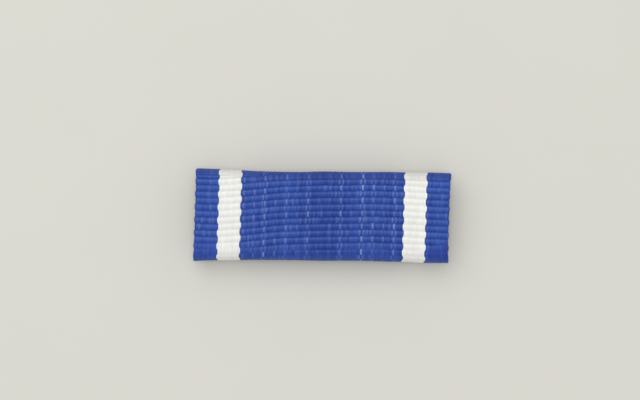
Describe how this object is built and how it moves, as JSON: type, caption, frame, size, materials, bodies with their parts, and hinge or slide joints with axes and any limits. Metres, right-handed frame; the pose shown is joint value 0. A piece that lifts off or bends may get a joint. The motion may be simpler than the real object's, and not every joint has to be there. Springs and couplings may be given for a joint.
{
  "type": "ribbon bar",
  "caption": "Flat bar of ribbed blue ribbon with white stripes near its ends, folded round a thin metal plate with a plain brooch pin on its back.",
  "frame": {"origin": "middle of the bar's outline, on the surface that the pin fitting rests on", "axes": "+X along the ribbon's width from the left selvedge to the right one, +Y from the lower fold to the upper one, +Z out of the face"},
  "size_m": [0.0354, 0.0129, 0.005],
  "materials": {
    "ribbon_cloth": "ribbed grosgrain, blue with two white stripes",
    "plate_brass": "satin",
    "pin_steel": "nickel plated, satin"
  },
  "bodies": {
    "root": {"ribbon": "ribbon_cloth", "mounting_plate": "plate_brass", "brooch_pin": "pin_steel"}
  },
  "joints": []
}
